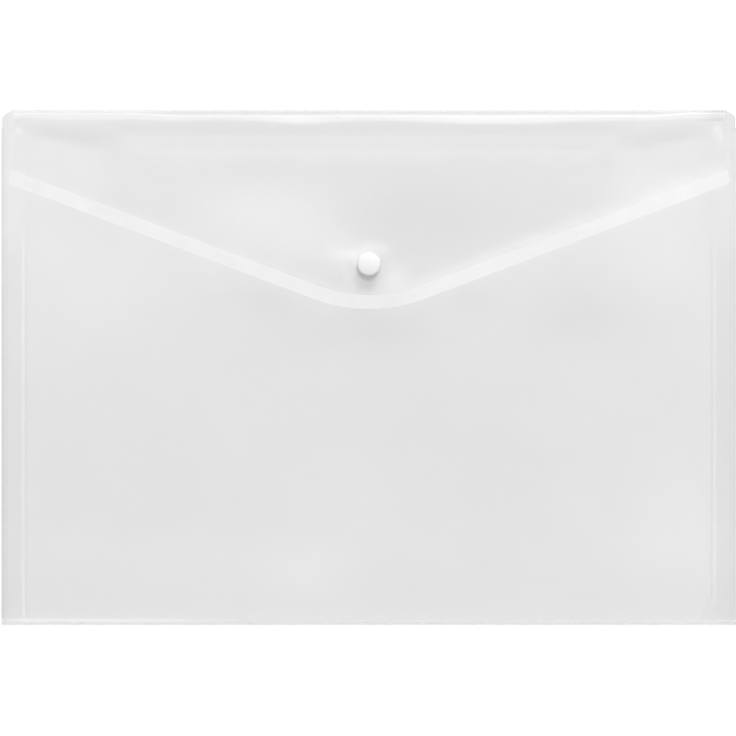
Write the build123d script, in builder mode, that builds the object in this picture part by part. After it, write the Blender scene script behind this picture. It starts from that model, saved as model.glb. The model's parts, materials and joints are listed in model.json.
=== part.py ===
from build123d import *
import os
from math import asin, atan, cos, degrees, tan

os.makedirs("parts", exist_ok=True)

# Envelope wallet for A4 papers, folded from one clear polypropylene sheet.
# It lies on its back: X runs across, Y from the bottom fold to the top fold, Z up.
# Sizes are in millimetres, and every "depth" is measured down the page from the top fold.

# Whole wallet
wallet_width = 335.0
wallet_height = 235.0
sheet = 0.2  # thickness of the film
pocket_gap = 6.0  # clear space between back and front panel

# Pressed creases
crease_radius = 0.3  # round bead that the film folds on
crease_clearance = 0.1  # film edge to bead

# Back panel
back_corner_radius = 4.0

# Front panel, with a grip recess in its upper edge
shoulder_depth = 8.0  # raised sides of the upper edge
mouth_depth = 22.0  # floor of the recess
mouth_width = 216.0  # across that floor
mouth_flare = 13.0  # each side opens this much up to the shoulder
mouth_corner_radius = 6.0
shoulder_corner_radius = 3.0

# Side gussets
gusset_depth = 10.0  # side edge to the inner crease
weld_width = 2.4  # flat land welded to a panel
gusset_setback = 1.0  # gusset ends this far below the shoulder

# Spine between back panel and flap
spine_lean = 4.5  # upper crease lies this far inside the lower one

# Flap
flap_root_inset = 6.4  # side edge of the wallet to the flap, at the crease
flap_ear_inset = 2.75  # the same at the widest place
flap_ear_depth = 33.4
flap_side_radius = 100.0  # hollow curve from crease to ear
flap_ear_radius = 2.5
flap_sharp_depth = 95.7  # where the two straight lower edges would meet
flap_point_radius = 72.0  # rounded point of the flap
band_width = 6.3
band_thickness = 0.2

# Press stud
stud_depth = 70.4  # top fold to the stud's axis
snap_height = 2.7  # flap to front panel when pressed shut
cap_radius = 5.35
cap_height = 2.2
cap_rim = 0.9  # upright edge below the cap's dome
cap_edge_radius = 0.7
base_radius = 5.35
base_height = 1.1
base_rim = 0.6
base_edge_radius = 0.3
post_radius = 0.95
post_clearance = 0.05
rivet_radius = 1.35  # flattened end of a post
rivet_height = 0.3
stud_flange_radius = 4.2
stud_flange_height = 0.5
stud_neck_radius = 2.0
stud_bulb_radius = 2.3
stud_wall = 0.7  # bulb to the hollow that takes the flattened post
socket_flange_radius = 4.6
socket_roof = 0.5
socket_wall = 1.0
socket_lip_height = 0.4
slit_width = 0.5  # lets the socket spring open
slit_count = 4
lip_clearance = 0.05  # bulb to the socket's lip
bulb_clearance = 0.3  # bulb to the socket's hollow
seat_clearance = 0.1  # stud's tip to the cap's flattened post
mouth_clearance = 0.2  # socket's lip to the stud's flange

# Levels and lines worked out from the sizes above
half_width = wallet_width / 2
top_y = wallet_height / 2
fold_radius = pocket_gap / 2 + sheet
fold_y = fold_radius - wallet_height / 2
front_bottom = sheet + pocket_gap
front_top = front_bottom + sheet
flap_bottom = front_top + snap_height
flap_top = flap_bottom + sheet
bead_gap = crease_radius + crease_clearance
stud_y = top_y - stud_depth
hole_radius = post_radius + post_clearance

# The two crease axes of the spine
lower_y = top_y - crease_radius
lower_z = crease_radius
upper_y = lower_y - spine_lean
upper_z = flap_bottom + sheet / 2
spine_rise = upper_z - lower_z
spine_width = (spine_lean**2 + spine_rise**2) ** 0.5
lower_half = half_width - back_corner_radius
upper_half = half_width - flap_root_inset


with BuildPart() as back_panel:
    with BuildSketch() as back_outline:
        with BuildLine():
            Polyline(
                (-half_width, fold_y),
                (half_width, fold_y),
                (half_width, lower_y - bead_gap),
                (-half_width, lower_y - bead_gap),
                close=True,
            )
        make_face()
        fillet(back_outline.vertices().group_by(Axis.Y)[-1], radius=back_corner_radius)
    extrude(amount=sheet)

# Half-round bend that joins back and front panel
with BuildPart() as bottom_fold:
    with BuildSketch(Plane.YZ):
        with Locations((fold_y, fold_radius)):
            Circle(fold_radius)
            Circle(fold_radius - sheet, mode=Mode.SUBTRACT)
            Rectangle(fold_radius, 2 * fold_radius, align=(Align.MIN, Align.CENTER), mode=Mode.SUBTRACT)
    extrude(amount=half_width, both=True)

# Front panel: straight sides, a wide tapered recess between two shoulders, and the hole of the stud
mouth_half = mouth_width / 2
with BuildPart() as front_panel:
    with BuildSketch(Plane.XY.offset(front_bottom)) as front_outline:
        with BuildLine():
            Polyline(
                (-half_width, fold_y + crease_clearance),
                (half_width, fold_y + crease_clearance),
                (half_width, top_y - shoulder_depth),
                (mouth_half + mouth_flare, top_y - shoulder_depth),
                (mouth_half, top_y - mouth_depth),
                (-mouth_half, top_y - mouth_depth),
                (-mouth_half - mouth_flare, top_y - shoulder_depth),
                (-half_width, top_y - shoulder_depth),
                close=True,
            )
        make_face()
        shoulders = front_outline.vertices().group_by(Axis.Y)[-1].sort_by(Axis.X)
        recess = front_outline.vertices().group_by(Axis.Y)[-2]
        fillet(recess + shoulders[1:3], radius=mouth_corner_radius)
        fillet([shoulders[0], shoulders[-1]], radius=shoulder_corner_radius)
        with Locations((0, stud_y)):
            Circle(hole_radius, mode=Mode.SUBTRACT)
    extrude(amount=sheet)


def side_gusset(side):
    """One strip folded inwards along its middle, with a flat land welded to each panel."""
    edge = side * (half_width - sheet / 2)
    land_end = side * (half_width - weld_width)
    inner_crease = side * (half_width - gusset_depth)
    length = top_y - shoulder_depth - gusset_setback - fold_y
    with BuildPart() as gusset:
        with BuildSketch(Plane.XZ.offset(-fold_y)):
            with BuildLine():
                folded = Polyline(
                    (edge, sheet + sheet / 2),
                    (land_end, sheet + sheet / 2),
                    (inner_crease, sheet + pocket_gap / 2),
                    (land_end, front_bottom - sheet / 2),
                    (edge, front_bottom - sheet / 2),
                )
                offset(folded, amount=sheet / 2, kind=Kind.INTERSECTION, side=Side.BOTH)
            make_face()
        extrude(amount=-length)
    return gusset


left_gusset = side_gusset(-1)
right_gusset = side_gusset(1)

# Spine: a narrow leaning strip with a round bead along each crease
spine_plane = Plane(origin=(0, lower_y, lower_z), x_dir=(1, 0, 0), z_dir=(0, -spine_rise, -spine_lean))
with BuildPart() as spine:
    with BuildSketch(spine_plane):
        with BuildLine():
            Polyline(
                (-lower_half, 0),
                (lower_half, 0),
                (upper_half, spine_width),
                (-upper_half, spine_width),
                close=True,
            )
        make_face()
    extrude(amount=sheet / 2, both=True)
    with BuildSketch(Plane.YZ):
        with Locations((lower_y, lower_z)):
            Circle(crease_radius)
    extrude(amount=lower_half, both=True)
    with BuildSketch(Plane.YZ):
        with Locations((upper_y, upper_z)):
            Circle(crease_radius)
    extrude(amount=upper_half, both=True)

# Flap outline: hollow sides that flare into two ears, straight lower edges and a rounded point
ear_half = half_width - flap_ear_inset
root_y = upper_y - bead_gap
ear_y = top_y - flap_ear_depth
sharp_y = top_y - flap_sharp_depth
edge_slope = atan((ear_y - sharp_y) / ear_half)
with BuildSketch() as flap_outline:
    with BuildLine():
        RadiusArc((upper_half, root_y), (ear_half, ear_y), -flap_side_radius)
        Polyline((ear_half, ear_y), (0, sharp_y), (-ear_half, ear_y))
        RadiusArc((-ear_half, ear_y), (-upper_half, root_y), -flap_side_radius)
        Line((-upper_half, root_y), (upper_half, root_y))
    make_face()
    fillet(flap_outline.vertices().group_by(Axis.Y)[1], radius=flap_ear_radius)
    fillet(flap_outline.vertices().sort_by(Axis.Y)[0], radius=flap_point_radius)

with BuildPart() as flap:
    with BuildSketch(Plane.XY.offset(flap_bottom)):
        add(flap_outline.sketch)
        with Locations((0, stud_y)):
            Circle(hole_radius, mode=Mode.SUBTRACT)
    extrude(amount=sheet)

# Band welded along the lower edge of the flap: what lies below a line parallel to that edge
inner_sharp_y = sharp_y + band_width / cos(edge_slope)
with BuildSketch() as above_band:
    with BuildLine():
        Polyline(
            (-half_width, top_y),
            (half_width, top_y),
            (half_width, inner_sharp_y + half_width * tan(edge_slope)),
            (0, inner_sharp_y),
            (-half_width, inner_sharp_y + half_width * tan(edge_slope)),
            close=True,
        )
    make_face()
    fillet(above_band.vertices().sort_by(Axis.Y)[0], radius=flap_point_radius - band_width)

with BuildPart() as flap_edge_band:
    with BuildSketch(Plane.XY.offset(flap_top)):
        add(flap_outline.sketch)
        add(above_band.sketch, mode=Mode.SUBTRACT)
    extrude(amount=band_thickness)

# Press stud: four turned pieces on one upright axis, drawn as half sections
stud_axis = Axis((0, stud_y, 0), (0, 0, 1))
section = Plane(origin=(0, stud_y, 0), x_dir=(1, 0, 0), z_dir=(0, -1, 0))
roof_bottom = flap_bottom - socket_roof
stud_floor = front_top + stud_flange_height
stud_tip = roof_bottom - rivet_height - seat_clearance
socket_mouth = stud_floor + mouth_clearance
lip_top = socket_mouth + socket_lip_height


def dome_arc(top, height, radius, upwards):
    """Half of a shallow round dome, from the stud's axis out to the given radius."""
    dome_radius = (radius**2 + height**2) / (2 * height)
    reach = degrees(asin(radius / dome_radius))
    if upwards:
        return CenterArc((0, top - dome_radius), dome_radius, 90 - reach, reach)
    return CenterArc((0, top + dome_radius), dome_radius, 270, reach)


# Cap on the flap: dome above, post through flap and socket, flattened under the socket's roof
with BuildPart() as button_cap:
    with BuildSketch(section) as cap_section:
        with BuildLine():
            dome_arc(flap_top + cap_height, cap_height - cap_rim, cap_radius, upwards=True)
            Polyline(
                (0, flap_top + cap_height),
                (0, roof_bottom - rivet_height),
                (rivet_radius, roof_bottom - rivet_height),
                (rivet_radius, roof_bottom),
                (post_radius, roof_bottom),
                (post_radius, flap_top),
                (cap_radius, flap_top),
                (cap_radius, flap_top + cap_rim),
            )
        make_face()
        fillet(cap_section.vertices().group_by(Axis.X)[-1].sort_by(Axis.Y)[-1], radius=cap_edge_radius)
    revolve(axis=stud_axis)

# Socket under the flap: flanged ring with a lip at its mouth and slits that let it spring
lip_radius = stud_bulb_radius + lip_clearance
hollow_radius = stud_bulb_radius + bulb_clearance
socket_radius = hollow_radius + socket_wall
with BuildPart() as snap_socket:
    with BuildSketch(section):
        with BuildLine():
            Polyline(
                (hole_radius, flap_bottom),
                (socket_flange_radius, flap_bottom),
                (socket_flange_radius, roof_bottom),
                (socket_radius, roof_bottom),
                (socket_radius, lip_top),
                (socket_radius - socket_lip_height, socket_mouth),
                (lip_radius, socket_mouth),
                (lip_radius, lip_top),
                (hollow_radius, lip_top),
                (hollow_radius, roof_bottom),
                (hole_radius, roof_bottom),
                close=True,
            )
        make_face()
    revolve(axis=stud_axis)
    with BuildSketch(Plane(origin=(0, stud_y, socket_mouth))):
        with PolarLocations((lip_radius + socket_radius) / 2, slit_count, start_angle=180 / slit_count):
            Rectangle(2 * socket_wall, slit_width)
    extrude(amount=roof_bottom - socket_mouth, mode=Mode.SUBTRACT)

# Stud on the front panel: flange, neck and rounded bulb round a hollow
stud_hollow = stud_bulb_radius - stud_wall
with BuildPart() as snap_stud:
    with BuildSketch(section):
        with BuildLine():
            Polyline(
                (stud_neck_radius, stud_tip),
                (stud_hollow, stud_tip),
                (stud_hollow, stud_floor),
                (hole_radius, stud_floor),
                (hole_radius, front_top),
                (stud_flange_radius, front_top),
                (stud_flange_radius, stud_floor),
                (stud_neck_radius, stud_floor),
                (stud_neck_radius, lip_top),
            )
            ThreePointArc(
                (stud_neck_radius, lip_top),
                (stud_bulb_radius, (lip_top + stud_tip) / 2),
                (stud_neck_radius, stud_tip),
            )
        make_face()
    revolve(axis=stud_axis)

# Base inside the pocket: low dome, post through the panel and the stud, flattened on the stud's floor
with BuildPart() as stud_base:
    with BuildSketch(section) as base_section:
        with BuildLine():
            dome_arc(front_bottom - base_height, base_height - base_rim, base_radius, upwards=False)
            Polyline(
                (base_radius, front_bottom - base_rim),
                (base_radius, front_bottom),
                (post_radius, front_bottom),
                (post_radius, stud_floor),
                (rivet_radius, stud_floor),
                (rivet_radius, stud_floor + rivet_height),
                (0, stud_floor + rivet_height),
                (0, front_bottom - base_height),
            )
        make_face()
        fillet(base_section.vertices().group_by(Axis.X)[-1].sort_by(Axis.Y)[0], radius=base_edge_radius)
    revolve(axis=stud_axis)

pieces = {
    "back_panel": back_panel,
    "bottom_fold": bottom_fold,
    "front_panel": front_panel,
    "left_gusset": left_gusset,
    "right_gusset": right_gusset,
    "spine": spine,
    "flap": flap,
    "flap_edge_band": flap_edge_band,
    "button_cap": button_cap,
    "snap_socket": snap_socket,
    "snap_stud": snap_stud,
    "stud_base": stud_base,
}
for name, piece in pieces.items():
    piece.part.label = name
    export_step(piece.part, f"parts/{name}.step")
print("spine leans from", (lower_y, lower_z), "to", (upper_y, upper_z), "width", round(spine_width, 3))
print("bottom bend axis", (fold_y, fold_radius), "edge slope", round(degrees(edge_slope), 2))
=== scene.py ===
import json
import math
import bmesh
import bpy
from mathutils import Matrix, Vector


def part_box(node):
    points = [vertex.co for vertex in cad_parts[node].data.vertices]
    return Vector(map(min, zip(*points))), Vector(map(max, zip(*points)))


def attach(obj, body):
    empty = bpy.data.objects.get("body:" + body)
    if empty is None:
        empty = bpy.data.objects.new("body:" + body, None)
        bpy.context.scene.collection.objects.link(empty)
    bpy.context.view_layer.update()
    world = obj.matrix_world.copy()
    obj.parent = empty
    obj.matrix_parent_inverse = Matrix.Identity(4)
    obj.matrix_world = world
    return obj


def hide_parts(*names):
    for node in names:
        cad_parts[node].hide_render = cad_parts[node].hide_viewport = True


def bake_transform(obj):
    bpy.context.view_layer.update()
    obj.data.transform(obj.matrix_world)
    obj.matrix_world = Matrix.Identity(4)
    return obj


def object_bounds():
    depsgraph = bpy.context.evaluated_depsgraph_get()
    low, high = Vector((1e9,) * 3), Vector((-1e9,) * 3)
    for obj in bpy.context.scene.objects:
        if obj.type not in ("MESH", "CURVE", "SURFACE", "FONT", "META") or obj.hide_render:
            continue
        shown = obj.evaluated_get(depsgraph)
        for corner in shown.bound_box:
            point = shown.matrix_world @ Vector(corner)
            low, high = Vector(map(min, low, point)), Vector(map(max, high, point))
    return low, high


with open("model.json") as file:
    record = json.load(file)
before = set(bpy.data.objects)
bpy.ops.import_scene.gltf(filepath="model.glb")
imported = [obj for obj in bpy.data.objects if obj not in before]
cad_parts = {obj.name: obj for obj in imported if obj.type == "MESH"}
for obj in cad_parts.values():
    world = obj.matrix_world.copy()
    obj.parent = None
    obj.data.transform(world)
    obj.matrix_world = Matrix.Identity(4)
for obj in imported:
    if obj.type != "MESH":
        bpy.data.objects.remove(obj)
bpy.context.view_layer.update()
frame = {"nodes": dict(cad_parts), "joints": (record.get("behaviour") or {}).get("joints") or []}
mm = 0.001
scene = bpy.context.scene

# lines and levels of the wallet, read from the frame
backLow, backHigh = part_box("back_panel")
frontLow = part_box("front_panel")[0]
flapLow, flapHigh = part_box("flap")
capLow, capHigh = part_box("button_cap")
joints = {joint["name"]: Vector(joint["pos_m"]) for joint in frame["joints"]}
lowerCrease = joints["spine_fold"]
upperCrease = joints["flap_fold"]
bendAxis = joints["front_fold"]
halfWidth = backHigh.x
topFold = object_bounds()[1][1]
filmThickness = backHigh.z - backLow.z
backMiddle = (backLow.z + backHigh.z) / 2
flapMiddle = (flapLow.z + flapHigh.z) / 2
stud = (capLow + capHigh) / 2
print("frame read: wallet", round(2 * halfWidth / mm), "mm wide")


def linear(hexColour):
    channels = [int(hexColour[i:i + 2], 16) / 255 for i in (0, 2, 4)]
    return [c / 12.92 if c <= 0.04045 else ((c + 0.055) / 1.055) ** 2.4 for c in channels] + [1.0]


def addNode(tree, kind, values=None, links=None, **settings):
    node = tree.nodes.new(kind)
    for name, value in settings.items():
        setattr(node, name, value)
    for name, value in (values or {}).items():
        node.inputs[name].default_value = value
    for name, source in (links or {}).items():
        tree.links.new(source, node.inputs[name])
    return node


def newMaterial(name):
    material = bpy.data.materials.new(name)
    material.use_nodes = True
    tree = material.node_tree
    return material, tree, tree.nodes["Principled BSDF"]


def smooth(value, low, high):
    t = min(max((value - low) / (high - low), 0.0), 1.0)
    return t * t * (3 - 2 * t)


def hump(value, start, full, leave, end):
    return smooth(value, start, full) * (1 - smooth(value, leave, end))


def between(low, high, share):
    return low + (high - low) * share


def sideOf(x):
    return -1 if x < 0 else 1


def softSpots(x, y, spots):     # a spot is x, y and half sizes in mm, and its amount
    return sum(amount * math.exp(-((x - px * mm) / (width * mm)) ** 2 - ((y - py * mm) / (height * mm)) ** 2)
               for px, py, width, height, amount in spots)


polypropyleneIor = 1.49

# polypropylene film, calendered between rolls: milky and see-through, a soft gloss over a fine grain;
# it turns white where it is folded and grey where it is welded, and the same white and grey also paint
# highlights and shade on it
filmSettings = {
    "colour": "EAEAEA",
    "cloudColour": "E5E5E5",
    "foldAndHighlightColour": "FFFFFF",
    "weldAndShadeColour": "A8A8A8",
    "alpha": 0.36,
    "roughness": (0.24, 0.38),
    "gloss": 0.56,
    "grain": 0.9,       # mm, real grain is about 0.1 and drawn coarser to show
    "grainDepth": 0.05,     # mm
    "grainStrength": 0.06,
    "cloud": 45.0,      # mm, slow change of thickness
}


def makeFilm():
    s = filmSettings
    material, tree, shader = newMaterial("calenderedPolypropylene")
    place = addNode(tree, "ShaderNodeTexCoord").outputs["Object"]
    cloud = addNode(tree, "ShaderNodeTexNoise", {"Scale": 1 / (s["cloud"] * mm), "Detail": 3.0},
                    {"Vector": place})
    tone = addNode(tree, "ShaderNodeMix", {6: linear(s["colour"]), 7: linear(s["cloudColour"])},
                   {0: cloud.outputs["Fac"]}, data_type="RGBA")
    grain = addNode(tree, "ShaderNodeTexNoise", {"Scale": 1 / (s["grain"] * mm), "Detail": 2.0},
                    {"Vector": place})
    rough = addNode(tree, "ShaderNodeMapRange", {"To Min": s["roughness"][0], "To Max": s["roughness"][1]},
                    {"Value": cloud.outputs["Fac"]})
    bump = addNode(tree, "ShaderNodeBump", {"Strength": s["grainStrength"], "Distance": s["grainDepth"] * mm},
                   {"Height": grain.outputs["Fac"]})
    # the attribute read here holds fold whitening and weld grey, and painted highlights and painted shade too
    workedAndPaintedLight = addNode(tree, "ShaderNodeAttribute", attribute_name="workedAndPaintedLight").outputs["Fac"]
    whiteShare = addNode(tree, "ShaderNodeMath", {1: 0.0}, {0: workedAndPaintedLight}, operation="MAXIMUM")
    greyShare = addNode(tree, "ShaderNodeMath", {1: -1.0}, {0: workedAndPaintedLight}, operation="MULTIPLY", use_clamp=True)
    tone = addNode(tree, "ShaderNodeMix", {7: linear(s["foldAndHighlightColour"])},
                   {0: whiteShare.outputs[0], 6: tone.outputs[2]}, data_type="RGBA")
    tone = addNode(tree, "ShaderNodeMix", {7: linear(s["weldAndShadeColour"])},
                   {0: greyShare.outputs[0], 6: tone.outputs[2]}, data_type="RGBA")
    tree.links.new(tone.outputs[2], shader.inputs["Base Color"])
    tree.links.new(rough.outputs["Result"], shader.inputs["Roughness"])
    tree.links.new(bump.outputs["Normal"], shader.inputs["Normal"])
    shader.inputs["Alpha"].default_value = s["alpha"]
    shader.inputs["IOR"].default_value = polypropyleneIor
    shader.inputs["Specular IOR Level"].default_value = s["gloss"]
    return material


# edge of the same film, cut by the die: light that runs along inside the sheet leaves here, so it looks dense
cutSettings = {
    "colour": "D2D2D2",
    "paleColour": "C4C4C4",
    "tear": 3.0,        # mm, marks of the cutting rule
    "roughness": 0.5,
}


def makeCutEdge():
    s = cutSettings
    material, tree, shader = newMaterial("dieCutPolypropylene")
    place = addNode(tree, "ShaderNodeTexCoord").outputs["Object"]
    tear = addNode(tree, "ShaderNodeTexNoise", {"Scale": 1 / (s["tear"] * mm), "Detail": 2.0},
                   {"Vector": place})
    tone = addNode(tree, "ShaderNodeMix", {6: linear(s["colour"]), 7: linear(s["paleColour"])},
                   {0: tear.outputs["Fac"]}, data_type="RGBA")
    tree.links.new(tone.outputs[2], shader.inputs["Base Color"])
    shader.inputs["Roughness"].default_value = s["roughness"]
    shader.inputs["IOR"].default_value = polypropyleneIor
    return material


# the same film, pressed on with a frosted finish: whiter and less clear, uneven where the heat took
frostSettings = {
    "colour": "F4F4F4",
    "paleColour": "EAEAEA",
    "edgeColour": "EFEFEF",     # the frosting fades out at the edges and at the ears
    "alpha": 0.42,
    "roughness": 0.55,
    "emboss": 0.8,      # mm between the embossed dots
    "embossDepth": 0.05,        # mm
    "embossStrength": 0.15,
    "heat": 9.0,        # mm, uneven weld
}


def makeFrostedFilm():
    s = frostSettings
    material, tree, shader = newMaterial("frostedPolypropylene")
    place = addNode(tree, "ShaderNodeTexCoord").outputs["Object"]
    dots = addNode(tree, "ShaderNodeTexVoronoi", {"Scale": 1 / (s["emboss"] * mm)}, {"Vector": place})
    bump = addNode(tree, "ShaderNodeBump",
                   {"Strength": s["embossStrength"], "Distance": s["embossDepth"] * mm},
                   {"Height": dots.outputs["Distance"]})
    heat = addNode(tree, "ShaderNodeTexNoise", {"Scale": 1 / (s["heat"] * mm), "Detail": 3.0},
                   {"Vector": place})
    tone = addNode(tree, "ShaderNodeMix", {6: linear(s["paleColour"]), 7: linear(s["colour"])},
                   {0: heat.outputs["Fac"]}, data_type="RGBA")
    frosted = addNode(tree, "ShaderNodeAttribute", attribute_name="frosted").outputs["Fac"]
    tone = addNode(tree, "ShaderNodeMix", {6: linear(s["edgeColour"])},
                   {0: frosted, 7: tone.outputs[2]}, data_type="RGBA")
    tree.links.new(tone.outputs[2], shader.inputs["Base Color"])
    tree.links.new(bump.outputs["Normal"], shader.inputs["Normal"])
    shader.inputs["Alpha"].default_value = s["alpha"]
    shader.inputs["Roughness"].default_value = s["roughness"]
    shader.inputs["IOR"].default_value = polypropyleneIor
    return material


# acetal, injection moulded: white and dense, with a soft highlight
studSettings = {
    "colour": "FAFAF9",
    "flow": 4.0,        # mm, faint flow marks of the moulding
    "roughness": (0.25, 0.38),
    "ior": 1.48,
    "scatter": 0.5,
    "depth": 2.0,       # mm, how far light goes in
}


def makeAcetal():
    s = studSettings
    material, tree, shader = newMaterial("mouldedAcetal")
    place = addNode(tree, "ShaderNodeTexCoord").outputs["Object"]
    flow = addNode(tree, "ShaderNodeTexNoise", {"Scale": 1 / (s["flow"] * mm), "Detail": 4.0},
                   {"Vector": place})
    rough = addNode(tree, "ShaderNodeMapRange", {"To Min": s["roughness"][0], "To Max": s["roughness"][1]},
                    {"Value": flow.outputs["Fac"]})
    tree.links.new(rough.outputs["Result"], shader.inputs["Roughness"])
    shader.inputs["Base Color"].default_value = linear(s["colour"])
    shader.inputs["IOR"].default_value = s["ior"]
    shader.inputs["Subsurface Weight"].default_value = s["scatter"]
    shader.inputs["Subsurface Radius"].default_value = (1.0, 1.0, 1.0)
    shader.inputs["Subsurface Scale"].default_value = s["depth"] * mm
    return material


film = makeFilm()
cutEdge = makeCutEdge()
frostedFilm = makeFrostedFilm()
acetal = makeAcetal()
print("materials made")

# what all the meshes share
meshSettings = {
    "share": 0.8,           # of its thickness that a film keeps, so that films on each other share no face
    "merge": 0.001 * mm,
    "cut": 0.0001 * mm,
    "flatAngle": 1.0,       # degrees, flatter faces are joined
    "sharpAngle": 35.0,     # degrees, steeper edges stay sharp
    "edgeNormal": 0.5,      # a face of a sheet whose normal has less Z than this is its cut edge
    "foldReach": 0.1 * mm,
}
filmLayer = filmThickness * meshSettings["share"]


def finishPiece(bm, name, material, workedAndPaintedLight=None, edgeMaterial=None, folds=()):
    if workedAndPaintedLight:
        layer = bm.verts.layers.float.new("workedAndPaintedLight")     # above 0 white, from folds and painted highlights; below 0 grey, from welds and painted shade
        for vert in bm.verts:
            vert[layer] = workedAndPaintedLight(*vert.co)
    if edgeMaterial:
        bm.normal_update()
        for face in bm.faces:       # the sheet's cut edges, but not where it goes on beyond a fold
            y = face.calc_center_median().y
            atFold = any(abs(y - fold) < meshSettings["foldReach"] for fold in folds)
            upright = abs(face.normal.z) < meshSettings["edgeNormal"]
            face.material_index = 1 if upright and not atFold else 0
    mesh = bpy.data.meshes.new(name)
    bm.to_mesh(mesh)
    bm.free()
    mesh.polygons.foreach_set("use_smooth", [True] * len(mesh.polygons))
    mesh.set_sharp_from_angle(angle=math.radians(meshSettings["sharpAngle"]))
    mesh.materials.append(material)
    if edgeMaterial:
        mesh.materials.append(edgeMaterial)
    piece = bpy.data.objects.new(name, mesh)
    scene.collection.objects.link(piece)
    return piece


def sheetFromNode(node, step, lift, xCuts=(), yCuts=(), rim=0.0, share=meshSettings["share"]):
    # the flat sheet of a node, divided by steps and cuts, then lifted point by point
    bm = bmesh.new()
    bm.from_mesh(frame["nodes"][node].data)
    bmesh.ops.remove_doubles(bm, verts=bm.verts, dist=meshSettings["merge"])
    bmesh.ops.dissolve_limit(bm, angle_limit=math.radians(meshSettings["flatAngle"]), verts=bm.verts,
                             edges=bm.edges)
    if rim:
        bm.normal_update()
        upper = [face for face in bm.faces if face.normal.z > meshSettings["edgeNormal"]]
        bmesh.ops.inset_region(bm, faces=upper, thickness=rim, use_even_offset=True, use_boundary=True)
    low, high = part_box(node)
    for axis in (0, 1):
        count = math.ceil((high[axis] - low[axis]) / step)
        normal = Vector((0, 0, 0))
        normal[axis] = 1.0
        places = [low.lerp(high, i / count) for i in range(1, count)]
        places += [normal * cut for cut in (xCuts, yCuts)[axis]]
        for place in places:
            geometry = bm.verts[:] + bm.edges[:] + bm.faces[:]
            bmesh.ops.bisect_plane(bm, geom=geometry, dist=meshSettings["cut"], plane_co=place,
                                   plane_no=normal)
    middle = (low.z + high.z) / 2
    for vert in bm.verts:
        vert.co.z = middle + share * (vert.co.z - middle) + lift(vert.co.x, vert.co.y)
    return bm


def chainOf(bm, places):
    chain = [bm.verts.new(place) for place in places]
    for a, b in zip(chain, chain[1:]):
        bm.edges.new((a, b))
    return chain


def growStrip(bm, columns, step):
    # draws the edges out into a strip, one column at a time
    edges = bm.edges[:]
    for column in range(columns):
        grown = bmesh.ops.extrude_edge_only(bm, edges=edges)["geom"]
        verts = [part for part in grown if isinstance(part, bmesh.types.BMVert)]
        bmesh.ops.translate(bm, verts=verts, vec=step)
        edges = [part for part in grown if isinstance(part, bmesh.types.BMEdge)]


def foldStrip(corners, rounding, segments, halfLow, halfHigh, columns):
    # a strip along X whose section bends at the inner corners; corners are (y, z)
    bm = bmesh.new()
    chain = chainOf(bm, [(0, y, z) for y, z in corners])
    if rounding:
        bmesh.ops.bevel(bm, geom=chain[1:-1], affect="VERTICES", offset=rounding, segments=segments,
                        profile=0.5, material=-1)
    for vert in bm.verts:
        vert.co.x = -1.0
    growStrip(bm, columns, (2.0 / columns, 0, 0))
    lowEnd = Vector((0, *corners[0]))
    span = Vector((0, *corners[-1])) - lowEnd
    for vert in bm.verts:
        along = (Vector((0, vert.co.y, vert.co.z)) - lowEnd).dot(span) / span.length_squared
        vert.co.x *= between(halfLow, halfHigh, min(max(along, 0.0), 1.0))
    return bm


def thicken(bm):
    bmesh.ops.recalc_face_normals(bm, faces=bm.faces)
    for vert in bm.verts:
        vert.normal_update()
    moves = [(vert, vert.normal * filmLayer / 2) for vert in bm.verts]
    for vert, move in moves:
        vert.co += move
    bmesh.ops.solidify(bm, geom=bm.faces[:], thickness=filmLayer)
    bmesh.ops.recalc_face_normals(bm, faces=bm.faces)


# side welds of the panels: a pressed line, with painted shade along the outer edge and on a strip at the
# right
weldSettings = {
    "line": 165.0 * mm,
    "lineHalf": 0.4 * mm,
    "edge": (165.9 * mm, halfWidth - 0.8 * mm),     # begins and is full
    "groove": 0.03 * mm,
    "tones": {-1: (0.08, 0.20, 0.32), 1: (0.05, 0.12, 0.18)},   # grey of weld and line, and painted shade at the edge, each side
    "upper": (40.0 * mm, 75.0 * mm),    # the weld grey and the painted shade pale between these, up to the flap
    "fade": {-1: 0.1, 1: 0.6},          # by this share
    "strip": {-1: 0.0, 1: -0.16},       # and the strip beside it takes this tone, painted shade on the right
    "stripFrom": (150.0 * mm, 158.0 * mm),
}
weldLine = weldSettings["line"]
weldHalf = weldSettings["lineHalf"]
weldCuts = [side * x for side in (-1, 1)
            for x in (weldLine - weldHalf, weldLine, weldLine + weldHalf, *weldSettings["edge"])]


def onWeldLine(x):
    return max(1 - abs(abs(x) - weldLine) / weldHalf, 0.0)


# weld grey, with painted shade at the outer edge and on the right strip
def panelWeldsAndShade(x, y):
    side = sideOf(x)
    land, line, edge = weldSettings["tones"][side]
    upper = smooth(y, *weldSettings["upper"])
    grey = land * smooth(abs(x), weldLine - weldHalf, weldLine)
    grey += line * onWeldLine(x) + edge * smooth(abs(x), *weldSettings["edge"])
    strip = weldSettings["strip"][side] * upper * smooth(abs(x), *weldSettings["stripFrom"])
    return strip - grey * (1 - weldSettings["fade"][side] * upper)


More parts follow.
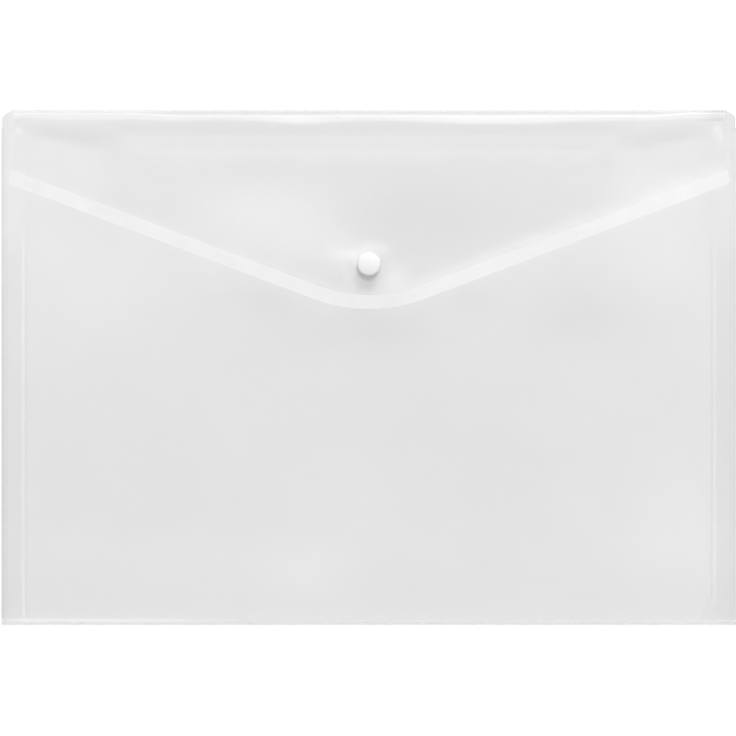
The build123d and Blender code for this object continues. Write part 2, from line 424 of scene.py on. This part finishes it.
# back panel: flat on the table, with a faint lift between its edges
backSettings = {
    "step": 7.0 * mm,
    "lift": 0.10 * mm,
    "waves": (26.0, 31.0),      # radians to a metre, along X and Y
    "phase": 1.0,
    "corners": {-1: 0.45, 1: 0.25},     # painted highlight at the upper corners, left and right
    "cornerSize": (5.0 * mm, 8.0 * mm),
    "cornerSoft": 1.5 * mm,
}
cornerWidth, cornerHeight = backSettings["cornerSize"]
cornerSoft = backSettings["cornerSoft"]
cornerXCuts = [side * (halfWidth - cornerWidth + i * cornerSoft) for side in (-1, 1) for i in (1, 0, -1)]
cornerYCuts = [backHigh.y - cornerHeight - i * cornerSoft for i in (0, 1)]


def backLift(x, y):
    xWave, yWave = backSettings["waves"]
    wave = math.sin(x * xWave + backSettings["phase"]) * math.sin(y * yWave)
    return backSettings["lift"] * (0.5 + 0.5 * wave)


# welds, and a painted highlight at the upper corners
def backWeldsAndPaintedLight(x, y, z):
    across = halfWidth - cornerWidth
    along = backHigh.y - cornerHeight
    corner = smooth(abs(x), across - cornerSoft, across) * smooth(y, along - cornerSoft, along)
    return panelWeldsAndShade(x, y) + backSettings["corners"][sideOf(x)] * corner


bm = sheetFromNode("back_panel", backSettings["step"], backLift, weldCuts + cornerXCuts, cornerYCuts)
backFilm = finishPiece(bm, "back_film", film, backWeldsAndPaintedLight, cutEdge, (backLow.y, backHigh.y))
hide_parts("back_panel")
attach(backFilm, "back")

# front panel: stands up towards the flap, is held down by the stud, and has slow waves
frontSettings = {
    "step": 6.0 * mm,
    "rise": 0.5 * mm,
    "riseLength": 120.0 * mm,
    "wave": 0.40 * mm,
    "waveLength": (190.0 * mm, 150.0 * mm),
    "waveSlant": 0.30,
    "wavePhase": 2.2,
    "waveStart": 30.0 * mm,     # from the bottom bend
    "underFlap": (0.8, 10.0 * mm, 60.0 * mm),       # share by which the waves flatten, and where
    "studHold": (6.0 * mm, 36.0 * mm),
    "studTrail": 50.0 * mm,     # the panel stays low below the stud
    "sag": 1.7 * mm,
    "sagHalf": 30.0 * mm,
    "sagBelow": (13.0 * mm, 45.0 * mm),     # below the stud: begins and is full
    "sagEnd": -20.0 * mm,       # it eases out from here to the bottom bend
    "tone": 0.16,               # painted light: the whole panel is made paler
    "recess": (95.5 * mm, 108.0 * mm, 0.93),    # floor and half width of the grip recess, flare of its sides
    "lip": (0.25, 0.12, 9.0 * mm),      # painted shade below and beside it, and how far
    "lipTurn": (4.0 * mm, 8.0 * mm),    # inside and outside its corner, where one goes over to the other
    "litAndShadedSpots": (                 # painted light and painted shade: paler and darker soft spots
        (0, -15, 100, 45, -0.10),
        (0, 18, 40, 12, -0.16),
        (-125, 35, 36, 26, 0.16),
        (135, -70, 20, 34, 0.20),
        (95, -62, 14, 14, 0.10),
        (-31, -95, 24, 12, 0.26),
        (135, 50, 24, 26, 0.20),
        (100, 25, 36, 20, -0.24),
        (47, 31, 14, 8, -0.15),
        (-46, 32, 20, 9, -0.22),
        (-148, 58, 16, 16, 0.15),
        (-82, -85, 80, 13, 0.15),
        (130, -82, 46, 16, 0.15),
        (156, -82, 12, 22, 0.15),
    ),
}


def frontWave(x, y):
    long, high = frontSettings["waveLength"]
    wave = math.sin(2 * math.pi * (x / long + frontSettings["waveSlant"] * y / high))
    wave *= math.sin(2 * math.pi * y / high + frontSettings["wavePhase"])
    wave *= (1 - (x / halfWidth) ** 4) * smooth(y, frontLow.y, frontLow.y + frontSettings["waveStart"])
    share, start, full = frontSettings["underFlap"]
    return frontSettings["wave"] * wave * (1 - share * smooth(y, start, full))


def frontLift(x, y):
    rise = frontSettings["rise"] * smooth(y, frontLow.y, frontLow.y + frontSettings["riseLength"])
    fromStud = math.hypot(x - stud.x, max(y - stud.y, 0.0, stud.y - frontSettings["studTrail"] - y))
    sag = frontSettings["sag"] * math.exp(-(x / frontSettings["sagHalf"]) ** 2)
    sag *= smooth(stud.y - y, *frontSettings["sagBelow"]) * smooth(y, frontLow.y, frontSettings["sagEnd"])
    return (rise + frontWave(x, y)) * smooth(fromStud, *frontSettings["studHold"]) - sag


def frontLiftWelded(x, y):
    return frontLift(x, y) - weldSettings["groove"] * onWeldLine(x)


# painted shade along the edge of the grip recess, where the flap dips over it
def recessLipShade(x, y):
    floor, half, flare = frontSettings["recess"]
    below, beside, reach = frontSettings["lip"]
    inside, outside = frontSettings["lipTurn"]
    if y < floor:
        gap = math.hypot(max(abs(x) - half, 0.0), floor - y)
    else:
        gap = abs(x) - half - flare * (y - floor)
    grey = between(below, beside, smooth(abs(x), half - inside, half + outside))
    return grey * (1 - smooth(gap, 0.0, reach))


# welds, painted light over the panel, painted shade at the recess, and painted light and shade in spots
def frontWeldsAndPaintedLight(x, y, z):
    tone = frontSettings["tone"] + panelWeldsAndShade(x, y) - recessLipShade(x, y)
    return tone + softSpots(x, y, frontSettings["litAndShadedSpots"])


lipCuts = [frontSettings["recess"][0] - i * 2.0 * mm for i in range(-4, 6)]     # finer at the recess
bm = sheetFromNode("front_panel", frontSettings["step"], frontLiftWelded, weldCuts, lipCuts)
frontFilm = finishPiece(bm, "front_film", film, frontWeldsAndPaintedLight, cutEdge, (frontLow.y,))
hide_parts("front_panel")
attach(frontFilm, "front")

# roll of the upper crease: a steep arc out of the spine and a long run into the flap, longer where it swells
rollSettings = {
    "steep": (1.4, 1.3 * mm),           # slope at the spine, and how far it lasts
    "run": (0.26, 0.10),                # slope of the run, and what a swell adds
    "length": (3.0 * mm, 2.2 * mm),     # of the run, and what a swell adds
    "ease": 1.6 * mm,                   # over which it levels out
    "swells": (                         # place, half width and size
        (-128.0 * mm, 40.0 * mm, 0.7),
        (-31.0 * mm, 18.0 * mm, 1.0),
        (58.0 * mm, 42.0 * mm, 1.0),
        (150.0 * mm, 24.0 * mm, 0.5),
    ),
    "outer": topFold - 2.1 * mm,        # y at which the arc leaves the spine
    "ends": (                           # it leaves further out at the ends: side, from, to and how far
        (-1, 85.0 * mm, 112.0 * mm, 1.1 * mm),
        (1, 126.0 * mm, 150.0 * mm, 1.4 * mm),
    ),
    "white": (0.20, 104.0 * mm, 111.0 * mm),    # painted highlight under the roll, partly fold whitening: amount, and y where it begins and is full
}


def rollOuter(x):
    further = sum(out * smooth(side * x, start, end) for side, start, end, out in rollSettings["ends"])
    return rollSettings["outer"] + further


def rollDrop(x, y):
    swell = sum(size * math.exp(-((x - place) / half) ** 2) for place, half, size in rollSettings["swells"])
    steep, steepLength = rollSettings["steep"]
    slope = rollSettings["run"][0] + rollSettings["run"][1] * swell
    length = rollSettings["length"][0] + rollSettings["length"][1] * swell
    ease = rollSettings["ease"]
    even = length - ease
    inward = rollOuter(x) - y
    drop = steep * steepLength / 3 * max(1 - inward / steepLength, 0.0) ** 3
    u = min(max((inward - even) / ease, 0.0), 1.0)
    return drop + slope * (max(even - inward, 0.0) + ease * (0.5 - u + u ** 3 - u ** 4 / 2))


def rollWhiteningAndHighlight(y):
    white, start, full = rollSettings["white"]
    return white * smooth(y, start, full)


# flap: rolls over from the spine, dips into the grip recess, rests on the front along its sides, and is held
# at the stud, from which puckers run out; it stands up to the left of the stud and hangs to the right
flapSettings = {
    "step": 3.0 * mm,
    "recessHalf": 114.0 * mm,
    "recessSoft": (8.0 * mm, 12.0 * mm),    # inside and outside that, where the sides begin
    "sideSlope": 0.135,
    "sideStart": 1.0 * mm,      # below the root
    "sideLength": (15.0 * mm, 6.0 * mm),    # next to the recess, at the ear
    "earWidth": 8.0 * mm,
    "earFlat": (0.8, 145.0 * mm, 160.0 * mm),       # share by which the ear flattens, and where
    "earRise": 0.30 * mm,
    "earLength": 18.0 * mm,
    "middleDrop": 0.8 * mm,
    "middleFall": (8.0 * mm, 40.0 * mm),    # below the root: begins and is full
    "dip": 0.60 * mm,
    "dipDepth": (9.0 * mm, 21.5 * mm),      # from the top fold
    "dipSoft": (4.0 * mm, 3.0 * mm),        # before and after each of these
    "dipFlare": 0.9,
    "dipSides": (5.0 * mm, 7.0 * mm),       # inside and outside its slanting sides
    "tilt": (1.5 * mm, 1.0 * mm),       # rise to the left of the stud, fall to the right
    "tiltLeft": (-88.0 * mm, -58.0 * mm, -14.0 * mm, 6.0 * mm),
    "tiltRight": (-10.0 * mm, 16.0 * mm, 80.0 * mm, 115.0 * mm),
    "tiltLength": (24.0 * mm, 66.0 * mm),
    "hold": 0.5,                # share of the height that is made up close to the stud
    "holdRadii": (5.5 * mm, 14.0 * mm, 46.0 * mm),      # cap, close, wide
    "puckers": (                # from the stud: x, y, radius, height
        (-14.0 * mm, -4.0 * mm, 9.0 * mm, 0.8 * mm),
        (11.0 * mm, -11.0 * mm, 7.5 * mm, 0.6 * mm),
    ),
    "edgeSlope": 0.378,         # of the lower edge, on both sides of its point
    "pointRadius": 14.0 * mm,
    "edgeReach": (7.0 * mm, 13.0 * mm),     # up from the lower edge
    "edgeRise": (0.10 * mm, 0.45 * mm),     # of the band, left and right
    "edgeTurn": (0.0 * mm, 60.0 * mm),      # where one goes over to the other
    "wrinkle": 0.16 * mm,       # along the band
    "wrinkleLength": 17.0 * mm,
    "wrinkleDrift": (2.0, 43.0),        # keeps the wrinkles uneven: radians, and radians to a metre
    # the whole flap is painted a little darker, as painted shade
    "tone": -0.05,
    "strainAndLitSpots": (                 # painted highlights and painted shade in soft spots, with strain whitening at the stud; from the stud
        (-50, 25, 26, 12, 0.18),
        (-25, 12, 16, 9, 0.20),
        (-15, 7.5, 7, 4.5, 0.15),
        (-10, 4.4, 7, 2.8, 0.55),
        (-6, 3.6, 3.5, 2.6, 0.45),
        (0, 7, 6.5, 2.6, 0.45),
        (11, -7, 5, 5, 0.5),
        (22, 20, 50, 20, -0.15),
        (-120, 40, 40, 12, 0.10),
        (0, 55, 105, 6, 0.18),
        (-95, 55, 40, 7, 0.15),
        (-159.5, 61, 1.7, 2, 0.5),
        (158.5, 61.6, 1.9, 2.4, 0.5),
        (160.5, 58, 0.7, 3, 0.5),
        (140, 35, 24, 6, 0.18),
    ),
    "bandWidth": 6.7 * mm,      # along Y
    "paintedBandLight": ((0.15, 2.5 * mm), (0.34, 4.5 * mm)),       # painted light beside the band and how far, left and right
    "haloTurn": (-20.0 * mm, 40.0 * mm),
}


def aboveEdge(x, y):
    radius = flapSettings["pointRadius"]
    return y - flapLow.y - flapSettings["edgeSlope"] * (math.hypot(x, radius) - radius)


def sideLift(x, down):
    s = flapSettings
    inside, outside = s["recessSoft"]
    share, start, full = s["earFlat"]
    side = smooth(abs(x), s["recessHalf"] - inside, s["recessHalf"] + outside)
    side *= 1 - share * smooth(abs(x), start, full)
    length = between(*s["sideLength"], smooth(abs(x), s["recessHalf"], halfWidth - s["earWidth"]))
    fall = s["sideSlope"] * length * smooth(down, s["sideStart"], s["sideStart"] + length)
    rise = s["earRise"] * smooth(down, length, length + s["earLength"])
    return side * (rise - fall) - (1 - side) * s["middleDrop"] * smooth(down, *s["middleFall"])


def recessDip(x, depth):
    s = flapSettings
    near, far = s["dipDepth"]
    before, after = s["dipSoft"]
    inside, outside = s["dipSides"]
    half = s["recessHalf"] - s["dipFlare"] * (depth - near)
    dip = hump(depth, near - before, near + after, far - before, far + after)
    return s["dip"] * dip * (1 - smooth(abs(x), half - inside, half + outside))


def edgeLift(x, y):
    s = flapSettings
    drift, driftWave = s["wrinkleDrift"]
    wrinkle = math.sin(2 * math.pi * x / s["wrinkleLength"] + drift * math.sin(x * driftWave))
    rise = between(*s["edgeRise"], smooth(x, *s["edgeTurn"]))
    return (rise + s["wrinkle"] * wrinkle) * (1 - smooth(aboveEdge(x, y), *s["edgeReach"]))


def flapLift(x, y):
    s = flapSettings
    down = flapHigh.y - y
    lift = sideLift(x, down) - recessDip(x, topFold - y) + edgeLift(x, y)
    rise, fall = s["tilt"]
    tilt = rise * hump(x, *s["tiltLeft"]) - fall * hump(x, *s["tiltRight"])
    lift += tilt * smooth(down, *s["tiltLength"])
    across = x - stud.x
    along = y - stud.y
    for px, py, radius, height in s["puckers"]:
        lift += height * math.exp(-(math.hypot(across - px, along - py) / radius) ** 2)
    cap, close, wide = s["holdRadii"]
    fromStud = math.hypot(across, along)
    free = between(smooth(fromStud, cap, wide), smooth(fromStud, cap, close), s["hold"])
    return lift * free - rollDrop(x, y)


# painted shade over the flap, the roll's painted highlight, spots round the stud, and painted light beside
# the band
def flapStrainAndPaintedLight(x, y, z):
    s = flapSettings
    tone = s["tone"] + rollWhiteningAndHighlight(y) + softSpots(x - stud.x, y - stud.y, s["strainAndLitSpots"])
    turn = smooth(x, *s["haloTurn"])
    white, reach = (between(left, right, turn) for left, right in zip(*s["paintedBandLight"]))
    return tone + white * (1 - smooth(aboveEdge(x, y), s["bandWidth"], s["bandWidth"] + reach))


# finer round the stud, at the roll and at the ears
studCuts = [i * 1.5 * mm for i in range(-12, 13)]
rollCuts = [flapHigh.y - i * 0.3 * mm for i in range(1, 7)] + [flapHigh.y - i * mm for i in range(3, 14)]
earCuts = [side * x * mm for side in (-1, 1) for x in range(155, 163)]
bm = sheetFromNode("flap", flapSettings["step"], flapLift, [stud.x + cut for cut in studCuts] + earCuts,
                   [stud.y + cut for cut in studCuts] + rollCuts)
flapFilm = finishPiece(bm, "flap_film", film, flapStrainAndPaintedLight, cutEdge, (flapHigh.y,))
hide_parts("flap")
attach(flapFilm, "flap")

# band along the flap's lower edge, melted into the flap
bandSettings = {
    "rim": 1.4 * mm,            # over which the frosting fades out
    "frosting": (0.5, 50.0 * mm, 115.0 * mm),   # at the point, and where it begins to rise and is full
    "ends": {-1: (154.0 * mm, 162.0 * mm), 1: (159.0 * mm, 166.0 * mm)},    # it fades here, each side
    "share": 0.2,               # of its thickness that stands out of the flap
    "sunk": 0.09 * mm,
}


def bandLift(x, y):
    return flapLift(x, y) - bandSettings["sunk"]


bm = sheetFromNode("flap_edge_band", flapSettings["step"], bandLift, rim=bandSettings["rim"],
                   share=bandSettings["share"])
bm.normal_update()
layer = bm.verts.layers.float.new("frosted")
atPoint, riseFrom, riseTo = bandSettings["frosting"]
for vert in bm.verts:
    outward = abs(vert.co.x)
    frosting = between(atPoint, 1, smooth(outward, riseFrom, riseTo))
    frosting *= 1 - smooth(outward, *bandSettings["ends"][sideOf(vert.co.x)])
    inside = all(face.normal.z > meshSettings["edgeNormal"] for face in vert.link_faces)
    vert[layer] = frosting if inside else 0.0
edgeBand = finishPiece(bm, "edge_band", frostedFilm)
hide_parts("flap_edge_band")
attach(edgeBand, "flap")
print("panels, flap and band made")

# bottom bend, rolled round the fold's axis and run on to both panels; fold whitening and painted light make
# it whiter, most at its left end
bendSettings = {
    "steps": 24,
    "columns": 48,
    "whiteningAndLight": (0.95, 1.0),       # fold whitening and painted light, of the bend and of its left end
    "whiteRange": ((0.1, 1.0), (-0.2, 0.55)),       # how far out each begins and is full, 1 is outermost
    "whiteEnd": (-120.0 * mm, -50.0 * mm),
}
bendRadius = bendAxis.z - filmThickness / 2
bm = bmesh.new()
seed = bm.verts.new((-halfWidth, bendAxis.y, bendAxis.z - bendRadius))
bmesh.ops.spin(bm, geom=[seed], cent=(-halfWidth, bendAxis.y, bendAxis.z), axis=(1, 0, 0), angle=-math.pi,
               steps=bendSettings["steps"], use_merge=False)
bendTip = 0.999 * bendRadius        # the first and the last point lie beyond this
for vert in bm.verts:
    if vert.co.z > bendAxis.z + bendTip:
        vert.co.y = frontLow.y
    elif vert.co.z < bendAxis.z - bendTip:
        vert.co.y = backLow.y
growStrip(bm, bendSettings["columns"], (2 * halfWidth / bendSettings["columns"], 0, 0))
thicken(bm)


def bendWhiteningAndPaintedLight(x, y, z):
    plain, most = bendSettings["whiteningAndLight"]
    plainRange, mostRange = bendSettings["whiteRange"]
    outward = min(max((bendAxis.y - y) / bendRadius, 0.0), 1.0)
    left = 1 - smooth(x, *bendSettings["whiteEnd"])
    white = between(plain * smooth(outward, *plainRange), most * smooth(outward, *mostRange), left)
    front = frontSettings["tone"] * smooth(z, bendAxis.z, bendAxis.z + bendRadius)
    return white + front + panelWeldsAndShade(x, y)


bottomBend = finishPiece(bm, "bottom_bend", film, bendWhiteningAndPaintedLight)
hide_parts("bottom_fold")
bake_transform(bottomBend)

# gussets: a land on each panel, two leaves and the inner crease, which draws inwards at the bottom
gussetSettings = {
    "inset": 0.1 * mm,          # of the land from the panel's edge
    "land": 2.4 * mm,
    "crease": 11.6 * mm,
    "rounding": 0.6 * mm,
    "segments": 5,
    "foldLine": (1.1 * mm, 2.7 * mm),   # from the crease: painted shade up to here, then the white line up to here
    "foldSoft": (0.3 * mm, 0.4 * mm),   # over which these two change
    "tones": {-1: (0.20, 0.08, 0.58), 1: (0.32, 0.09, 0.30)},   # painted shade on the leaves and at the crease, and the white line, a painted highlight with fold whitening
    "fade": (46.0 * mm, 66.0 * mm),     # the lines fade between these, up to the flap
    "columns": 72,
    "pinch": {-1: 0.4 * mm, 1: 4.6 * mm},
    "pinchLength": 9.0 * mm,
    "pinchFrom": 0.3,           # share of the depth that stays in place
    "linePinch": 0.76,          # share of the pinch that the fold line follows
    "blendInset": 0.2 * mm,
}


def makeGusset(side, name, node):
    s = gussetSettings
    low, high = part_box(node)
    bottom = backHigh.z + filmThickness / 2
    top = frontLow.z - filmThickness / 2
    edge = halfWidth - s["inset"]
    landEnd = halfWidth - s["land"]
    crease = halfWidth - s["crease"]
    greyEnd, whiteEnd = s["foldLine"]
    greySoft, whiteSoft = s["foldSoft"]
    bm = bmesh.new()
    corners = [(edge, bottom), (landEnd, bottom), (crease, (bottom + top) / 2), (landEnd, top), (edge, top)]
    chain = chainOf(bm, [(side * x, low.y, z) for x, z in corners])
    bmesh.ops.bevel(bm, geom=chain[1:-1], affect="VERTICES", offset=s["rounding"], segments=s["segments"],
                    profile=0.5, material=-1)
    for cut in (greyEnd - greySoft, greyEnd, greyEnd + greySoft, whiteEnd - whiteSoft, whiteEnd):
        bmesh.ops.bisect_plane(bm, geom=bm.verts[:] + bm.edges[:], dist=meshSettings["cut"],
                               plane_co=(side * (crease + cut), 0, 0), plane_no=(1, 0, 0))
    growStrip(bm, s["columns"], (0, (high.y - low.y) / s["columns"], 0))

    def pinch(y):
        return s["pinch"][side] * (1 - smooth(y, low.y, low.y + s["pinchLength"]))

    def gussetFoldsAndPaintedLight(x, y, z):
        leaf, grey, white = s["tones"][side]
        fromCrease = abs(x) - crease + s["linePinch"] * pinch(y)
        line = hump(fromCrease, greyEnd, greyEnd + greySoft, whiteEnd - whiteSoft, whiteEnd)
        dark = 1 - smooth(fromCrease, greyEnd - greySoft, greyEnd)
        return ((leaf + white) * line - leaf - grey * dark) * (1 - smooth(y, *s["fade"]))

    for vert in bm.verts:
        inward = (edge - abs(vert.co.x)) / (edge - crease)
        vert.co.x -= side * pinch(vert.co.y) * max(inward - s["pinchFrom"], 0.0) / (1 - s["pinchFrom"])
        vert.co.z += frontLift(vert.co.x, vert.co.y) * (vert.co.z - bottom) / (top - bottom)
    thicken(bm)
    piece = finishPiece(bm, name, film, gussetFoldsAndPaintedLight)
    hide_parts(node)
    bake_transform(piece)
    return piece


leftGusset = makeGusset(-1, "left_gusset_film", "left_gusset")
rightGusset = makeGusset(1, "right_gusset_film", "right_gusset")
print("bend and gussets made")

# spine: the lower crease bends out of the back panel, the upper one rolls into the flap
spineSettings = {
    "rounding": 0.45 * mm,
    "segments": 8,
    "columns": 84,
    "lowerPart": 1.6 * mm,
    "proud": 0.50 * mm,         # the lower crease stands out this far
    "rootReach": 0.05 * mm,     # the flap's points this close to its root give its width
    "legSteps": 5,
    "rollSteps": 16,
    "tones": (-0.06, -0.32, -0.06),     # painted shade on the outer line, the crease behind it and the top of the spine
    "lineTop": (0.45 * mm, 0.75 * mm),  # heights between which the line goes over to the crease
    "creaseTop": (0.8 * mm, 5.5 * mm),  # and the crease to the top
    "rollSoft": 1.6 * mm,       # over which these go over to the roll
    "endPale": 0.6,             # share by which they pale where the roll leaves a millimetre further out
    "endTone": (-0.30, 148.0 * mm, 160.0 * mm),     # painted shade at the right end, where it begins and is full
    "creaseTurn": 0.5 * mm,     # half of the film that turns at the lower crease
    "rollTurn": (2.4 * mm, 0.3 * mm),   # below the flap: where the turn at the upper crease begins and ends
    "rollTurnEnd": 0.2 * mm,    # beyond the flap's root
}
spineWay = (upperCrease - lowerCrease).normalized()
spineLength = (upperCrease - lowerCrease).length
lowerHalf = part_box("spine")[1].x
flapRoot = flapHigh.y - spineSettings["rootReach"]
rootHalf = max(vert.co.x for vert in frame["nodes"]["flap"].data.vertices if vert.co.y > flapRoot)
seam = lowerCrease + spineWay * spineSettings["lowerPart"]
seamHalf = between(lowerHalf, rootHalf, spineSettings["lowerPart"] / spineLength)
cornerY = lowerCrease.y - spineWay.y / spineWay.z * (lowerCrease.z - backMiddle) + spineSettings["proud"]


def spineFoldsAndPaintedLight(x, y, z):
    s = spineSettings
    line, crease, plain = s["tones"]
    endTone, endFrom, endTo = s["endTone"]
    tone = between(crease, plain, smooth(z, *s["creaseTop"]))
    tone += (line - crease) * (1 - smooth(z, *s["lineTop"]))
    tone = between(rollWhiteningAndHighlight(y), tone, smooth(y, rollOuter(x) - s["rollSoft"], rollOuter(x)))
    tone *= 1 - s["endPale"] * min((rollOuter(x) - rollSettings["outer"]) / mm, 1.0)
    return tone + endTone * smooth(x, endFrom, endTo)


bm = foldStrip([(backHigh.y, backMiddle), (cornerY, backMiddle), (seam.y, seam.z)], spineSettings["rounding"],
               spineSettings["segments"], lowerHalf, seamHalf, spineSettings["columns"])
thicken(bm)
backCrease = finishPiece(bm, "back_crease", film, spineFoldsAndPaintedLight)
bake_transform(backCrease)

# a straight leg up to the roll, then the arc down to the flap's root
legSteps = spineSettings["legSteps"]
rollSteps = spineSettings["rollSteps"]
ladder = [(seam.y, seam.z + i * mm) for i in range(legSteps + rollSteps + 1)]     # one rung for each line
bm = foldStrip(ladder, 0.0, 0, seamHalf, rootHalf, spineSettings["columns"])
for vert in bm.verts:
    rung = round((vert.co.z - seam.z) / mm)
    outer = rollOuter(vert.co.x)
    if rung <= legSteps:
        legTop = flapMiddle - rollDrop(vert.co.x, outer)
        vert.co.y = between(seam.y, outer, rung / legSteps)
        vert.co.z = between(seam.z, legTop, rung / legSteps)
    else:
        vert.co.y = between(outer, flapHigh.y, (rung - legSteps) / rollSteps)
        vert.co.z = flapMiddle - rollDrop(vert.co.x, vert.co.y)
thicken(bm)
spineFilm = finishPiece(bm, "spine_film", film, spineFoldsAndPaintedLight)
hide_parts("spine")
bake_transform(spineFilm)
print("spine made")

# thin clear film dims a lamp far less than its milky look says; the back panel keeps the shadow on the floor
for piece in (frontFilm, flapFilm, edgeBand, bottomBend, leftGusset, rightGusset, backCrease, spineFilm):
    piece.visible_shadow = False

# button cap, turned: a low crown, a round shoulder, and the post that is flattened under the socket
capSettings = {
    "crown": 0.70 * mm,
    "crownSteps": 7,
    "shoulder": 0.8 * mm,
    "shoulderSegments": 6,
    "post": 0.95 * mm,
    "rivet": (1.35 * mm, 0.3 * mm),     # radius and height of the flattened end
    "turns": 72,
}
capRadius = capHigh.x - stud.x
postRadius = capSettings["post"]
rivetRadius, rivetHeight = capSettings["rivet"]
rivetTop = capLow.z + rivetHeight
crownSteps = capSettings["crownSteps"]
shares = [i / crownSteps for i in range(crownSteps + 1)]
profile = [(capRadius * share, capHigh.z - capSettings["crown"] * share ** 2) for share in shares]
profile += [(capRadius, flapHigh.z), (postRadius, flapHigh.z), (postRadius, rivetTop)]
profile += [(rivetRadius, rivetTop), (rivetRadius, capLow.z), (0.0, capLow.z)]
bm = bmesh.new()
chain = chainOf(bm, [(stud.x + r, stud.y, z) for r, z in profile])
bmesh.ops.bevel(bm, geom=[chain[crownSteps]], affect="VERTICES", offset=capSettings["shoulder"],
                segments=capSettings["shoulderSegments"], profile=0.5, material=-1)
bmesh.ops.spin(bm, geom=bm.verts[:] + bm.edges[:], cent=(stud.x, stud.y, 0), axis=(0, 0, 1),
               angle=2 * math.pi, steps=capSettings["turns"], use_merge=True)
bmesh.ops.remove_doubles(bm, verts=bm.verts, dist=meshSettings["merge"])
bmesh.ops.recalc_face_normals(bm, faces=bm.faces)
buttonCap = finishPiece(bm, "cap", acetal)
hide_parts("button_cap")
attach(buttonCap, "flap")

# the other turned pieces of the press stud keep their solids
for name in ("snap_socket", "snap_stud", "stud_base"):
    node = frame["nodes"][name]
    node.data.materials.clear()
    node.data.materials.append(acetal)
print("press stud finished")

# camera straight above, as the wallet was photographed
cameraSettings = {"lens": 300.0, "distance": 2803.0 * mm, "aim": (-0.41 * mm, -0.14 * mm)}
cameraData = bpy.data.cameras.new("camera")
cameraData.lens = cameraSettings["lens"]
camera = bpy.data.objects.new("camera", cameraData)
camera.location = (*cameraSettings["aim"], cameraSettings["distance"])
scene.collection.objects.link(camera)
scene.camera = camera


def backgroundRays(tree):       # what looks at the background: the camera, gloss and glass
    path = addNode(tree, "ShaderNodeLightPath")
    seen = path.outputs["Is Camera Ray"]
    for ray in ("Is Glossy Ray", "Is Transmission Ray"):
        either = addNode(tree, "ShaderNodeMath", links={0: seen, 1: path.outputs[ray]}, operation="MAXIMUM")
        seen = either.outputs[0]
    return seen


# floor: white to the camera, with the wallet's shadow on it
floorSettings = {
    "size": 3.0,
    "drop": 0.3 * mm,
    "glow": 0.68,
    "shadowShare": 0.36,        # of the white that the shadow can take away
    "albedo": 0.35,             # for the light that it throws back at the wallet
}
bm = bmesh.new()
bmesh.ops.create_grid(bm, x_segments=1, y_segments=1, size=floorSettings["size"])
bmesh.ops.translate(bm, verts=bm.verts, vec=(0, 0, -floorSettings["drop"]))
floorMesh = bpy.data.meshes.new("floor")
bm.to_mesh(floorMesh)
bm.free()
floor = bpy.data.objects.new("floor", floorMesh)
scene.collection.objects.link(floor)
floorMaterial, tree, shader = newMaterial("whiteTable")
tree.nodes.remove(shader)
plain = addNode(tree, "ShaderNodeBsdfDiffuse", {"Color": [floorSettings["albedo"]] * 3 + [1.0]})
shaded = addNode(tree, "ShaderNodeBsdfDiffuse", {"Color": [floorSettings["shadowShare"]] * 3 + [1.0]})
glow = addNode(tree, "ShaderNodeEmission", {"Color": (1.0, 1.0, 1.0, 1.0), "Strength": floorSettings["glow"]})
bright = addNode(tree, "ShaderNodeAddShader", links={0: shaded.outputs[0], 1: glow.outputs[0]})
mix = addNode(tree, "ShaderNodeMixShader",
              links={0: backgroundRays(tree), 1: plain.outputs[0], 2: bright.outputs[0]})
tree.links.new(mix.outputs[0], tree.nodes["Material Output"].inputs["Surface"])
floorMesh.materials.append(floorMaterial)

# light: a white room, brighter overhead, and a wide lamp from beyond the top fold
lightSettings = {
    "room": (0.20, 0.80),       # at the horizon and overhead
    "lampPlace": (0.42, 2.2, 1.38),
    "lampSize": (1.1, 0.5),
    "lampPower": 49.0,
}
world = bpy.data.worlds.new("room")
world.use_nodes = True
scene.world = world
tree = world.node_tree
background = tree.nodes["Background"]
background.inputs["Color"].default_value = (1.0, 1.0, 1.0, 1.0)
horizon, overhead = lightSettings["room"]
place = addNode(tree, "ShaderNodeTexCoord").outputs["Generated"]
way = addNode(tree, "ShaderNodeSeparateXYZ", links={0: place})
room = addNode(tree, "ShaderNodeMapRange", {"To Min": horizon, "To Max": overhead},
               {"Value": way.outputs["Z"]})
strength = addNode(tree, "ShaderNodeMapRange", {"To Max": 1.0},
                   {"Value": backgroundRays(tree), "To Min": room.outputs["Result"]})
tree.links.new(strength.outputs["Result"], background.inputs["Strength"])
lampData = bpy.data.lights.new("topLamp", "AREA")
lampData.shape = "RECTANGLE"
lampData.size, lampData.size_y = lightSettings["lampSize"]
lampData.energy = lightSettings["lampPower"]
lamp = bpy.data.objects.new("topLamp", lampData)
lamp.location = lightSettings["lampPlace"]
lamp.rotation_euler = (-Vector(lightSettings["lampPlace"])).to_track_quat("-Z", "Y").to_euler()
scene.collection.objects.link(lamp)
scene.view_settings.view_transform = "Standard"
scene.cycles.transparent_max_bounces = 32   # many clear films lie on each other
print("camera, floor and light made")
